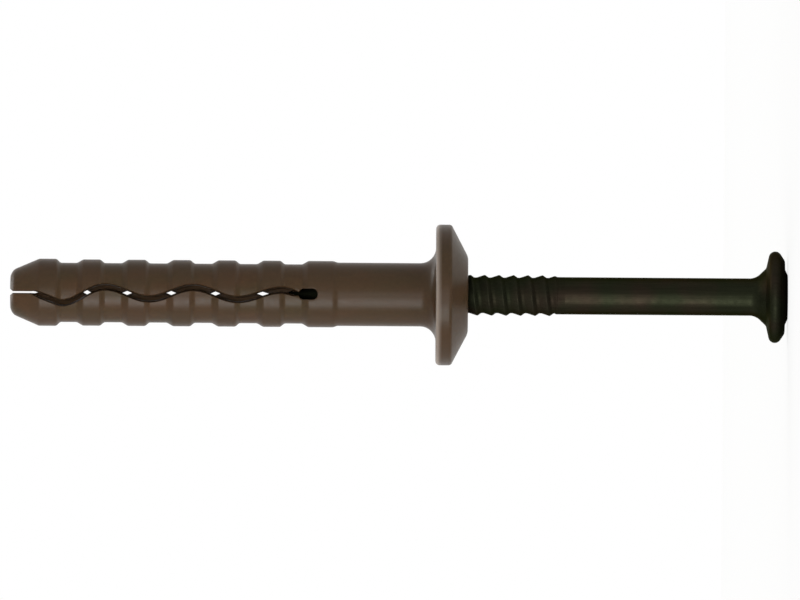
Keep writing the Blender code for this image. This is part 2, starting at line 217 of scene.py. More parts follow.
class NailSettings(bpy.types.PropertyGroup):
    """Sizes and colours of the steel drive nail."""

    tip_height: size("Tip height", "Height of the nail's tip above the floor", NAIL_BOX[1].z)
    head_radius: size("Head radius", "Radius of the head", NAIL_BOX[1].x)
    under_head: size("Under head", "Height at which the head's underside meets the cone", 0.00202)
    under_fall: size("Underside fall", "How far the underside falls towards the rim", 0.00036)
    rim_height: size("Rim height", "Height at which the rim's bevel ends", 0.00084)
    bevel_width: size("Bevel width", "Width of the rim's bevel", 0.00088)
    rim_ease: size("Rim ease", "Rounding between the head's bevel and its rim", 0.00032)
    under_ease: size("Underside ease", "Rounding between the head's rim and its underside", 0.00046)
    button_height: size("Button height", "Height of the button on the head", 0.00027)
    button_radius: size("Button radius", "Radius of the struck face", 0.00206)
    button_flare: size("Button flare", "Width of the slope round the struck face", 0.0006)
    cone_radius: size("Cone radius", "Radius of the cone under the head", 0.0027)
    cone_height: size("Cone height", "Height of the cone under the head", 0.001)
    cone_fillet: size("Cone fillet", "Rounding between the cone and the shank", 0.0005)
    shank_radius: size("Shank radius", "Radius of the plain shank", 0.00175)
    thread_radius: size("Thread radius", "Radius at the thread's crest", 0.00192)
    root_radius: size("Root radius", "Radius at the thread's root", 0.00167)
    thread_pitch: size("Thread pitch", "Distance from one turn of the thread to the next", 0.001355)
    thread_length: size("Thread length", "Length of the threaded end", 0.0256)
    thread_run_out: size("Thread run-out", "Length over which the thread fades", 0.0011)
    point_length: size("Point length", "Length of the nail's point", 0.0044)
    point_radius: size("Point radius", "Radius of the blunt tip", 0.00012)
    recess_reach: size("Recess reach", "Reach of the cross recess's arms", 0.00165)
    recess_width: size("Recess width", "Width of the cross recess's arms", 0.0008)
    recess_core: size("Recess core", "Radius of the cross recess's round middle", 0.0009)
    recess_depth: size("Recess depth", "Depth of the cross recess", 0.0019)
    steel: colour("Steel", "Colour of the burnished steel", "#1e2016")
    steel_warm: colour("Warm steel", "Brown tint in the burnished skin", "#261f19")
    steel_rubbed: colour("Rubbed steel", "Tone of the steel where its skin is rubbed", "#33332a")
    steel_edge: colour("Steel edge", "Tone of the steel seen at a glancing angle", "#b0b0a6")


class StageSettings(bpy.types.PropertyGroup):
    """Sizes and colours of the floor and the camera's view."""

    picture_width: size("Picture width", "Width of what the picture shows", 0.07504)
    picture_middle: size("Picture middle", "Height above the floor that the camera looks at", 0.03635)
    picture_drop: size("Picture drop", "How far towards -X of the axis the camera looks", 0.00054)
    camera_distance: size("Camera distance", "From the camera to the axis", 2.0)
    camera_roll: bpy.props.FloatProperty(name="Camera roll", description="Turn of the camera in its view",
                                         default=math.radians(0.395), subtype="ANGLE")
    floor_radius: size("Floor radius", "Radius of the floor", 0.4)
    floor: colour("Floor", "Colour of the floor", "#f4f4f2")


def corner_curve(start, corner, end, steps):
    """A cubic curve that rounds a corner, with its handles 0.5523 of the way to it.

    Where the corner is square, that is a quarter circle.
    """
    share = np.linspace(0, 1, steps + 1)[:, None]
    near = start + QUARTER_CIRCLE_HANDLE * (corner - start)
    far = end + QUARTER_CIRCLE_HANDLE * (corner - end)
    return ((1 - share) ** 3 * start + 3 * (1 - share) ** 2 * share * near
            + 3 * (1 - share) * share ** 2 * far + share ** 3 * end)


def eased_outline(corners, spacing):
    """An outline through corner points, each rounded by a curve, as rows of (radius, height).

    A corner is (radius, height, reach before, reach after): the curve leaves the sides at those distances
    from it. Straight runs longer than the spacing get points of their own.
    """
    corners = np.array([corner if len(corner) == 4 else (*corner, 0, 0) for corner in corners], float)
    points, reaches = corners[:, :2], corners[:, 2:]
    sides = points[1:] - points[:-1]
    sides /= np.linalg.norm(sides, axis=1)[:, None]
    path = [points[:1]]
    for point, before, after, reach in zip(points[1:-1], sides[:-1], sides[1:], reaches[1:-1]):
        if reach[0] == 0:
            path.append(point[None])
            continue
        path.append(corner_curve(point - before * reach[0], point, point + after * reach[1], CORNER_STEPS))
    path = np.concatenate([*path, points[-1:]])
    lengths = np.linalg.norm(np.diff(path, axis=0), axis=1)
    counts = np.maximum(1, np.ceil(lengths / spacing).astype(int))
    runs = [np.linspace(p, q, count, endpoint=False) for p, q, count in zip(path[:-1], path[1:], counts)]
    return np.concatenate([*runs, path[-1:]])


def averaged(heights, knots, values, window):
    """A line through knots, averaged over a window round each height: its corners become short curves."""
    offsets = np.linspace(-0.5, 0.5, 9)
    return np.interp(heights[:, None] + np.reshape(window, (-1, 1)) * offsets, knots, values).mean(axis=1)


def around(radius, height, angle):
    """Points at a radius, a height and an angle about Z, measured from -Y towards +X."""
    radius, height, angle = np.broadcast_arrays(radius, height, angle)
    return np.stack([radius * np.sin(angle), -radius * np.cos(angle), height], axis=-1)


def solid(name, grids, finish, body, node):
    """One closed mesh from grids of points: four neighbours make a face, and equal points are welded.

    The faces are then all turned outwards. The piece rides on its body and stands for its node.
    """
    faces, start = [], 0
    for grid in grids:
        rows, columns = grid.shape[:2]
        first = start + np.arange(rows - 1)[:, None] * columns + np.arange(columns - 1)
        quads = np.stack([first, first + 1, first + columns + 1, first + columns], axis=-1)
        faces.append(quads.reshape(-1, 4))
        start += rows * columns
    mesh = bpy.data.meshes.new(name)
    points = np.concatenate([grid.reshape(-1, 3) for grid in grids])
    mesh.from_pydata(points.tolist(), [], np.concatenate(faces).tolist())
    shell = bmesh.new()
    shell.from_mesh(mesh)
    bmesh.ops.remove_doubles(shell, verts=shell.verts, dist=WELD)
    bmesh.ops.recalc_face_normals(shell, faces=shell.faces)
    open_edges = sum(1 for edge in shell.edges if not edge.is_manifold)
    shell.to_mesh(mesh)
    shell.free()
    if open_edges:
        raise RuntimeError(f"{name} isn't closed: {open_edges} edges don't join two faces")
    mesh.shade_smooth()
    mesh.set_sharp_from_angle(angle=SHARP_ANGLE)
    piece = bpy.data.objects.new(name, mesh)
    bpy.context.scene.collection.objects.link(piece)
    mesh.materials.append(finish)
    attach(piece, body)
    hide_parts(node)
    return piece


def points_of(mesh):
    """The mesh's points as rows of (x, y, z)."""
    places = np.empty(len(mesh.vertices) * 3)
    mesh.vertices.foreach_get("co", places)
    return places.reshape(-1, 3)


def write_attribute(mesh, name, values):
    """Stores one number for each point, which a material reads by its name."""
    attribute = mesh.attributes.new(name, "FLOAT", "POINT")
    attribute.data.foreach_set("value", np.asarray(values, np.float32))


def collar_under(s):
    """Height of the collar's underside."""
    return s.nose_height - s.under_collar


def ring_centres(s):
    """Heights of the middles of the nose ring, of the short rings and of the long one."""
    nose_ring = s.nose_height - s.nose_length
    short = nose_ring - s.ring_pitch * np.arange(1, s.ring_count + 1)
    long_ring = nose_ring - s.ring_pitch * (s.ring_count + 1) - (s.long_ring_crest - s.ring_crest) / 2
    return nose_ring, short, long_ring


def ring_knots(s, centre, crest, behind):
    """The corners of a ring's outline, going up: its steep flank is on the collar's side."""
    return [(centre - crest / 2 - s.hold_flank, behind), (centre - crest / 2, s.ring_radius),
            (centre + crest / 2, s.ring_radius), (centre + crest / 2 + s.lead_flank, s.groove_radius)]


def body_knots(s):
    """The sleeve's outline from the neck to the nose as (height, radius) corners, and the corners' heights.

    The nose's end is a dense curve.
    """
    nose_ring, short, long_ring = ring_centres(s)
    knots = [(collar_under(s), s.neck_radius)]
    knots += ring_knots(s, long_ring, s.long_ring_crest, s.neck_radius)
    for centre in short[::-1]:
        knots += ring_knots(s, centre, s.ring_crest, s.groove_radius)
    lower = nose_ring - s.nose_ring_crest / 2
    knots += [(lower - s.hold_flank, s.groove_radius), (lower, s.nose_ring_radius)]
    taper_start = np.array([s.nose_height - s.nose_taper, s.nose_ring_radius])
    nose_corner = np.array([s.nose_height, s.nose_radius])
    along = (taper_start - nose_corner) / np.linalg.norm(taper_start - nose_corner)
    end = corner_curve(nose_corner + along * s.nose_ease, nose_corner, nose_corner - [0, s.nose_ease],
                       NOSE_STEPS)
    corners = np.array(knots + [tuple(taper_start)])
    return np.concatenate([corners, end]), corners[:, 0]


def body_radius(s, heights):
    """The sleeve's outer radius at each height, with its corners averaged, but not the nose's end."""
    knots, _ = body_knots(s)
    window = np.minimum(s.corner_ease, 2 * np.maximum(s.nose_height - heights, 0))
    return averaged(heights, knots[:, 0], knots[:, 1], window)


def bore_knots(s):
    """The bore from the collar's face up, as (height, radius): countersink, bore, and taper in the nose."""
    face = collar_under(s) - s.collar_thickness
    sink = s.mouth_radius - s.bore_radius
    return np.array([(face, s.mouth_radius), (face + sink, s.bore_radius),
                     (s.nose_height - s.bore_taper, s.bore_radius), (s.nose_height, s.nose_bore_radius)])


def hole_middle(s):
    """Height of the middle of the slots' end hole, where the long ring's crest ends."""
    return ring_centres(s)[2] + s.long_ring_crest / 2


def slot_start(s):
    """Height at which a slot leaves the end hole's rounded end."""
    return hole_middle(s) + s.hole_length / 2 - s.hole_width / 4


def slot_middle(s, heights):
    """How far the front slot's middle line lies towards +X at each height.

    From the end hole it swings from side to side, and each half wave is half a cosine. After its deepest
    turn, behind the nose ring, it runs straight back to the middle and on to the nose.
    """
    nose_ring, short, _ = ring_centres(s)
    turns = nose_ring - s.wave_lead - s.wave_pitch * np.arange(len(short) + 1)[::-1]
    swings = s.wave_height * (-1.0) ** np.arange(len(turns))
    swings[0], swings[-1] = s.wave_first, -s.wave_last
    marks_z = np.concatenate([[slot_start(s)], turns])
    marks_x = np.concatenate([[0], swings])
    share = np.linspace(0, 1, WAVE_STEPS)[:, None]
    z = marks_z[:-1] + (marks_z[1:] - marks_z[:-1]) * share
    x = marks_x[:-1] + (marks_x[1:] - marks_x[:-1]) * (1 - np.cos(math.pi * share)) / 2
    z, x = z.T.ravel(), x.T.ravel()
    z = np.concatenate([z, [s.nose_height - s.slit_length, s.nose_height + MILLIMETRE]])
    x = np.concatenate([x, [0, 0]])
    return averaged(heights, z, x, np.full(len(heights), 3 * s.corner_ease))


def slot_edges(s, heights):
    """The front slot's two edges as their places along X: slot, end hole and mouth taken together.

    The slot keeps its width square to its middle line, so across X it is wider where the line slants. In
    the nose it narrows to a slit, which flares at the very end.
    """
    middle = slot_middle(s, heights)
    step = 0.01 * MILLIMETRE
    slant = (slot_middle(s, heights + step) - slot_middle(s, heights - step)) / (2 * step)
    slit_end = (s.slit_length - s.slot_width / 2, s.slit_length + s.slot_width / 2)
    width = np.interp(s.nose_height - heights, [0, s.mouth_depth, *slit_end],
                      [s.mouth_flare, s.slit_width, s.slit_width, s.slot_width])
    half = width / 2 * np.sqrt(1 + slant ** 2)
    in_slot = heights >= slot_start(s)
    past = np.maximum(np.abs(heights - hole_middle(s)) - (s.hole_length - s.hole_width) / 2, 0)
    in_hole = past < s.hole_width / 2
    round_half = np.sqrt(np.maximum((s.hole_width / 2) ** 2 - past ** 2, 0))
    left, right = np.where(in_slot, middle - half, 0), np.where(in_slot, middle + half, 0)
    return (np.where(in_hole, np.minimum(left, -round_half), left),
            np.where(in_hole, np.maximum(right, round_half), right))


def slot_reach(s, heights, left, right):
    """How far each side of the slot opens outwards, which is never more than 0.6 of the slot's width.

    At the end hole and at the slit it is a small chamfer, and between them a flare.
    """
    flared_from = hole_middle(s) + s.hole_length / 2
    slit = s.nose_height - s.slit_length
    reach = np.interp(heights, [flared_from, flared_from + s.hole_width / 2, slit - s.wave_lead / 2, slit],
                      [s.slot_corner, s.slot_flare, s.slot_flare, s.slot_corner])
    return np.minimum(reach, (right - left) * 0.6)


def slot_shade(s, places):
    """1 on the slots' sides and 0 elsewhere. It falls over the outer half of the flare."""
    # The share sets where painted shade darkens the slots' sides
    heights = places[:, 2]
    across = np.where(places[:, 1] < 0, 1, -1) * places[:, 0]
    left, right = slot_edges(s, heights)
    reach = slot_reach(s, heights, left, right)
    away = np.maximum(left - across, across - right)
    share = np.clip((reach - away) / (0.5 * reach + WELD), 0, 1)
    return np.where(heights > hole_middle(s) - s.hole_length / 2, share, 0)


def slot_rows(s):
    """Heights of the rows in the slotted part, from the end hole's lower end to the nose.

    They are even rows, seven more round each corner of the outline, ten more at each end of the hole, and 18
    more at the nose, closer together towards its end. Rows that almost coincide are left out.
    """
    start, end = hole_middle(s) - s.hole_length / 2, s.nose_height
    even = np.arange(start, end, SLOTTED_ROWS)
    _, corners = body_knots(s)
    near = (corners[:, None] + np.linspace(-0.6, 0.6, 7) * s.corner_ease).ravel()
    hole_end = start + s.hole_width / 2 * (1 - np.cos(np.linspace(0, math.pi / 2, 10)))
    hole_top = hole_middle(s) + s.hole_length / 2 - (hole_end - start)
    nose = end - s.nose_ease * np.linspace(1, 0, 18) ** 2
    rows = np.concatenate([even, near, hole_end, hole_top, nose])
    rows = np.unique(rows[(rows > start) & (rows < end)])
    keep = np.concatenate([[True], np.diff(rows) > CLOSEST_ROWS])
    return np.concatenate([[start], rows[keep], [end]])


def leg_section(s, heights):
    """The +X leg's section at each height: outer arc, front wall, bore arc and back wall, as four grids.

    The walls stand along Y where the slot's edge is. Each starts with a quadratic curve that flares to the
    outside, and goes on straight to the bore.
    """
    outer = body_radius(s, heights)
    bore = averaged(heights, *bore_knots(s).T, np.full(len(heights), s.corner_ease))
    bore[-1] = s.nose_bore_radius
    left, right = slot_edges(s, heights)
    reach = slot_reach(s, heights, left, right)
    sink = reach * np.interp(reach, [s.slot_corner, s.slot_flare], [1, s.flare_depth / s.slot_flare])
    bend = np.linspace(0, 1, 6)[None, :, None]
    depth = np.linspace(0, 1, WALL_STEPS + 1)[None, 1:, None]
    walls, arcs = [], []
    for edge in (right, -left):
        corner_angle = np.arcsin(edge / outer)
        corner = np.stack([edge, outer * np.cos(corner_angle)], axis=1)
        start_angle = corner_angle + reach / outer
        start = np.stack([outer * np.sin(start_angle), outer * np.cos(start_angle)], axis=1)
        end = corner - np.stack([np.zeros_like(reach), sink], axis=1)
        lip = corner + np.stack([0.7 * reach, -0.12 * sink], axis=1)
        curve = (1 - bend) ** 2 * start[:, None] + 2 * bend * (1 - bend) * lip[:, None]
        curve = curve + bend ** 2 * end[:, None]
        inner = np.stack([edge, np.sqrt(bore ** 2 - edge ** 2)], axis=1)
        walls.append(np.concatenate([curve, end[:, None] + (inner - end)[:, None] * depth], axis=1))
        arcs.append((start_angle, np.arcsin(edge / bore)))
    share = np.linspace(0, 1, LEG_COLUMNS + 1)
    grids = []
    for (front, back), radius in zip(zip(*arcs), (outer, bore)):
        angles = front[:, None] + (math.pi - back - front)[:, None] * share
        grids.append(around(radius[:, None], heights[:, None], angles))
    rise = np.broadcast_to(heights[:, None], walls[0].shape[:2])
    front_wall = np.stack([walls[0][..., 0], -walls[0][..., 1], rise], axis=-1)
    back_wall = np.stack([walls[1][..., 0], walls[1][..., 1], rise], axis=-1)
    return grids[0], front_wall, grids[1], back_wall


def nose_cap(outer, front_wall, bore, back_wall):
    """The leg's end face: a patch between the last rows of its four sides.

    Each point is the blend of the two facing sides both ways, less the blend of the four corners.
    """
    across = np.linspace(0, 1, len(outer))[None, :, None]
    down = np.linspace(0, 1, len(front_wall))[:, None, None]
    sides = (1 - down) * outer[None] + down * bore[None] + (1 - across) * front_wall[:, None]
    sides = sides + across * back_wall[:, None]
    corners = (1 - down) * ((1 - across) * outer[0] + across * outer[-1])
    corners = corners + down * ((1 - across) * bore[0] + across * bore[-1])
    return sides - corners


def collar_outline(s, slots_end):
    """The unslotted part's outline: from the slots' end down the neck, round the collar and up the bore."""
    under, face = collar_under(s), collar_under(s) - s.collar_thickness
    neck_top = under + 1.6 * s.collar_fillet
    ringed = np.arange(slots_end, neck_top, -NECK_ROWS)
    ringed = np.stack([body_radius(s, ringed), ringed], axis=1)
    sink_height, sink_radius = bore_knots(s)[1]
    corners = [
        (s.neck_radius, neck_top),
        (s.neck_radius, under, s.collar_fillet, s.collar_fillet),
        (s.collar_radius, under, s.rim_edge, s.rim_edge),
        (s.collar_radius, under - s.rim_height, s.rim_ease, s.rim_ease),
        (s.cone_end_radius, face, s.face_ease, s.face_ease),
        (s.mouth_radius, face, MOUTH_EASE, MOUTH_EASE),
        (sink_radius, sink_height, SINK_EASE, SINK_EASE),
        (s.bore_radius, slots_end),
    ]
    return np.concatenate([ringed, eased_outline(corners, COLLAR_ROWS)])


def make_sleeve(s):
    """The sleeve as two legs, each the other turned by half a turn, that meet in the unslotted part."""
    rows = slot_rows(s)
    outer, front_wall, bore, back_wall = leg_section(s, rows)
    cap = nose_cap(outer[-1], front_wall[-1], bore[-1], back_wall[-1])
    outline = collar_outline(s, rows[0])
    angles = math.pi * np.linspace(0, 1, LEG_COLUMNS + 1)
    collar = around(outline[:, :1], outline[:, 1:], angles)
    leg = [outer, front_wall, bore, back_wall, cap, collar]
    turned = [grid * np.array([-1, -1, 1]) for grid in leg]
    piece = solid("moulded_sleeve", leg + turned, moulded_plastic(s), "sleeve", "plug_sleeve")
    places = points_of(piece.data)
    heights, radii = places[:, 2], np.hypot(places[:, 0], places[:, 1])
    write_attribute(piece.data, "rubbed", np.interp(radii, [s.groove_radius, s.ring_radius], [0, 1]))
    # Painted shade on the slots' sides
    write_attribute(piece.data, "painted_slot_shade", slot_shade(s, places))
    # Painted light on the bore's wall, which lifts the dark seen through the slots
    bore_wall = np.minimum(np.interp(heights, *bore_knots(s).T), s.bore_radius)
    write_attribute(piece.data, "painted_bore_light", radii < bore_wall + PAINTED_BORE_LIGHT_DEPTH)
    # A painted pale highlight along the collar's rounded underside edge
    edge = np.interp(collar_under(s) - heights, [0.5 * s.rim_edge, 1.2 * s.rim_edge], [1, 0])
    rim = [s.collar_radius - s.rim_edge, s.collar_radius - 0.5 * s.rim_edge]
    write_attribute(piece.data, "wear_and_painted_highlight", edge * np.interp(radii, rim, [0, 1]))


def cross_outline(reach, half_width, core):
    """A cross with a round middle, as rows of (x, y): 96 points and the first one again.

    In an eighth of a turn four points run along an arm's end, five along its side, and four round the
    middle. Eighths share the points at which they meet.
    """
    meet = math.sqrt(core ** 2 - half_width ** 2)
    end = np.linspace(0, 1, 5)[:-1]
    side = np.linspace(0, 1, 6)[:-1]
    turn = np.linspace(math.atan2(half_width, meet), math.pi / 4, 4)
    x = np.concatenate([np.full(4, reach), reach + (meet - reach) * side, core * np.cos(turn)])
    y = np.concatenate([half_width * end, np.full(5, half_width), core * np.sin(turn)])
    quarter_x = np.concatenate([x, y[-2:0:-1]])
    quarter_y = np.concatenate([y, x[-2:0:-1]])
    quarter = quarter_x + 1j * quarter_y
    whole = np.concatenate([quarter * 1j ** arm for arm in range(4)]) * np.exp(0.25j * math.pi)
    whole = np.concatenate([whole, whole[:1]])
    return np.stack([whole.real, whole.imag], axis=1)


def recess_grid(n):
    """The cross recess from the middle of its floor out to the struck face's edge, as one grid.

    The floor's rows shrink the floor's outline towards the axis, the wall's rows blend the floor's outline
    into the mouth's, and the face's rows blend the mouth's outline into the button's circle.
    """
    reach, width, core = RECESS_FLOOR
    floor = cross_outline(reach * n.recess_reach, width * n.recess_width / 2, core * n.recess_core)
    mouth = cross_outline(n.recess_reach, n.recess_width / 2, n.recess_core)
    angle = math.pi / 4 + np.linspace(0, 2 * math.pi, len(mouth))
    circle = n.button_radius * np.stack([np.cos(angle), np.sin(angle)], axis=1)
    depth, tip = n.recess_depth, RECESS_TIP * n.recess_depth
    rows = [(floor * share, depth + tip * (1 - share)) for share in np.linspace(0, 1, 5)]
    rows += [(floor + (mouth - floor) * share, depth * (1 - share)) for share in np.linspace(0, 1, 8)[1:]]
    rows += [(mouth + (circle - mouth) * share, 0) for share in np.linspace(0, 1, 6)[1:]]
    return np.array([np.column_stack([outline, np.full(len(outline), height)]) for outline, height in rows])


def thread_height(n, heights, angle):
    """The thread's height over its root, from 0 to 1, at a height and an angle about Z.

    The place in the pitch grows with the height and falls with the angle, which makes a right-handed
    helix. Over a pitch the thread climbs its steep flank on the head's side, falls gently, and is the root
    for the rest. It is averaged over a short stretch, because a rolled thread has no sharp edges.
    """
    turns = math.ceil(n.thread_length / n.thread_pitch) + 1
    first_crest = n.tip_height - n.thread_pitch * (turns - THREAD_STEEP)
    place = (heights - first_crest) / n.thread_pitch - (angle - math.pi / 2) / (2 * math.pi) + THREAD_STEEP
    place = (place[..., None] + np.linspace(-0.035, 0.035, 5)) % 1
    return np.interp(place, [0, THREAD_STEEP, 1 - THREAD_ROOT, 1], [0, 1, 0, 0]).mean(axis=-1)


def threaded_grid(n, angles, start):
    """The threaded end: at each height and angle the lower of the thread and the blank it is rolled from.

    The blank's outline cuts the thread off at its run-out and grinds the point, and the plain shank stands
    out of it until the thread has begun.
    """
    point, tip = n.tip_height - n.point_length, n.tip_height - n.point_radius / 2
    thread = n.tip_height - n.thread_length
    heights = np.concatenate([np.arange(start, point, n.thread_pitch / TURN_ROWS),
                              np.linspace(point, tip, POINT_ROWS)])
    wide, narrow = n.thread_radius * BLANK_WIDE, n.root_radius * BLANK_NARROW
    blank = np.interp(heights, [thread - n.thread_run_out / 4, thread + n.thread_run_out,
                                point - n.thread_run_out, point, tip],
                      [narrow, wide, wide, n.root_radius, n.point_radius])
    shank_end = thread + n.thread_run_out / 4
    stub_end = shank_end + n.thread_run_out / 4
    shank = np.interp(heights, [shank_end, stub_end], [n.shank_radius, narrow])
    shank = np.where(heights > stub_end, 0, shank)
    height_grid, angle_grid = np.broadcast_arrays(heights[:, None], angles[None])
    crest = thread_height(n, height_grid, angle_grid)
    radius = n.root_radius + (n.thread_radius - n.root_radius) * crest
    radius = np.maximum(np.minimum(radius, blank[:, None]), shank[:, None])
    return around(radius, height_grid, angle_grid)


def make_nail(n):
    """The nail as one skin from the recess's floor over the head, the shank and the thread to the tip."""
    recess = recess_grid(n)
    angles = 3 * math.pi / 4 + np.linspace(0, 2 * math.pi, recess.shape[1])
    thread_start = n.tip_height - n.thread_length - n.thread_run_out / 2
    corners = [
        (n.button_radius, 0),
        (n.button_radius + n.button_flare, n.button_height, BUTTON_EASE, BUTTON_EASE),
        (n.head_radius - n.bevel_width, n.button_height, BUTTON_EASE, BUTTON_EASE),
        (n.head_radius, n.rim_height, n.rim_ease, n.rim_ease),
        (n.head_radius, n.under_head - n.under_fall, n.under_ease, n.under_ease),
        (n.cone_radius, n.under_head, CONE_EASE, CONE_EASE),
        (n.shank_radius, n.under_head + n.cone_height, n.cone_fillet, n.cone_fillet),
        (n.shank_radius, thread_start),
    ]
    outline = eased_outline(corners, NAIL_ROWS)
    head = around(outline[:, :1], outline[:, 1:], angles)
    thread = threaded_grid(n, angles, thread_start)
    tip = around(np.zeros((1, 1)), np.full((1, 1), n.tip_height), angles)
    grid = np.concatenate([recess, head[1:], thread[1:], tip])
    piece = solid("drive_nail", [grid], burnished_steel(n), "nail", "nail_screw")
    places = points_of(piece.data)
    heights, radii = places[:, 2], np.hypot(places[:, 0], places[:, 1])
    threaded = heights > thread_start
    crest = np.interp(radii, [n.shank_radius, n.thread_radius], [0, 0.5]) * threaded
    rim = np.interp(radii, [n.head_radius - RIM_WEAR, n.head_radius], [0, 0.3])
    write_attribute(piece.data, "rubbed", np.maximum(crest, rim))
    head_dull = np.interp(heights, [n.under_head, n.under_head + n.cone_height], [1, 0])
    write_attribute(piece.data, "dull", np.maximum(threaded, head_dull))


def add(tree, kind, settings=None, links=None):
    """Adds a node. Settings are its properties and its inputs' values, and links are its inputs' sources."""
    made = tree.nodes.new(kind)
    for key, value in (settings or {}).items():
        if isinstance(key, str) and hasattr(made, key):
            setattr(made, key, value)
        else:
            made.inputs[key].default_value = value
    for key, source in (links or {}).items():
        tree.links.new(source, made.inputs[key])
    return made


def new_finish(name):
    """A new material, its node tree and its shader."""
    made = bpy.data.materials.new(name)
    made.use_nodes = True
    return made, made.node_tree, made.node_tree.nodes["Principled BSDF"]


def moulded_plastic(s):
    """Injection-moulded polyamide, satin from a spark-eroded mould.

    It gives the eye a soft sheen over a fine grain, faint olive flow marks where the melt ran along the
    legs, and a redder tone on the rings, which have rubbed on their neighbours in the box. The collar's
    underside edge has a painted pale highlight, the slots' sides have painted shade, and the bore's wall
    behind them is painted paler, as painted light.
    """
    made, tree, shader = new_finish("moulded_polyamide")
    place = add(tree, "ShaderNodeTexCoord").outputs["Object"]
    stretched = add(tree, "ShaderNodeMapping", {"Scale": (1, 1, FLOW_STRETCH)}, {"Vector": place})
    flow = add(tree, "ShaderNodeTexNoise", {"Scale": 1 / FLOW_MARK, "Detail": 2, "Roughness": 0.5},
               {"Vector": stretched.outputs[0]}).outputs["Fac"]
    flow_share = add(tree, "ShaderNodeMapRange", {"From Min": 0.35, "From Max": 0.65}, {"Value": flow})
    base = add(tree, "ShaderNodeMix", {"data_type": "RGBA", 6: (*s.plastic, 1), 7: (*s.plastic_cool, 1)},
               {0: flow_share.outputs[0]})
    mottle = add(tree, "ShaderNodeTexNoise", {"Scale": 1 / MOTTLE, "Detail": 3, "Roughness": 0.6},
                 {"Vector": place}).outputs["Fac"]
    value = add(tree, "ShaderNodeMapRange",
                {"From Min": 0.3, "From Max": 0.7, "To Min": 0.92, "To Max": 1.08}, {"Value": mottle})
    painted = add(tree, "ShaderNodeHueSaturation", {},
                  {"Color": base.outputs[2], "Value": value.outputs[0]}).outputs[0]
    rubbed, wear_and_painted_highlight, painted_bore_light, painted_slot_shade = [add(tree, "ShaderNodeAttribute", {"attribute_name": name}).outputs["Fac"]
                                   for name in ("rubbed", "wear_and_painted_highlight", "painted_bore_light", "painted_slot_shade")]
    scuffs = add(tree, "ShaderNodeMath", {"operation": "MULTIPLY"}, {0: rubbed, 1: mottle}).outputs[0]
    # The mixes add the rings' rubbed tone, a painted highlight on the collar's edge, painted light on the
    # bore's wall and painted shade on the slots' sides
    for share, tone in ((scuffs, s.plastic_rubbed), (wear_and_painted_highlight, s.rim_painted_highlight), (painted_bore_light, s.bore_painted_light),
                        (painted_slot_shade, s.slot_painted_shade)):
        painted = add(tree, "ShaderNodeMix", {"data_type": "RGBA", 7: (*tone, 1)},
                      {0: share, 6: painted}).outputs[2]
    tree.links.new(painted, shader.inputs["Base Color"])
    roughness = add(tree, "ShaderNodeMapRange",
                    {"From Min": 0.3, "From Max": 0.7, "To Min": 0.32, "To Max": 0.4}, {"Value": mottle})
    tree.links.new(roughness.outputs[0], shader.inputs["Roughness"])
    grain = add(tree, "ShaderNodeTexNoise", {"Scale": 1 / GRAIN, "Detail": 1, "Roughness": 0.5},
                {"Vector": place}).outputs["Fac"]
    grain_bump = add(tree, "ShaderNodeBump", {"Strength": 0.5, "Distance": 0.006 * MILLIMETRE},
                     {"Height": grain})
    bump = add(tree, "ShaderNodeBump", {"Strength": 0.5, "Distance": 0.03 * MILLIMETRE},
               {"Height": flow, "Normal": grain_bump.outputs[0]})
    tree.links.new(bump.outputs[0], shader.inputs["Normal"])
    shader.inputs["IOR"].default_value = 1.53
    # A low level keeps the highlight soft and the brown deep
    shader.inputs["Specular IOR Level"].default_value = 0.12
    # Polyamide lets a little light through, which keeps the slots' walls brown
    shader.inputs["Subsurface Weight"].default_value = 0.2
    shader.inputs["Subsurface Radius"].default_value = (1, 0.7, 0.45)
    shader.inputs["Subsurface Scale"].default_value = 0.4 * MILLIMETRE
    return made


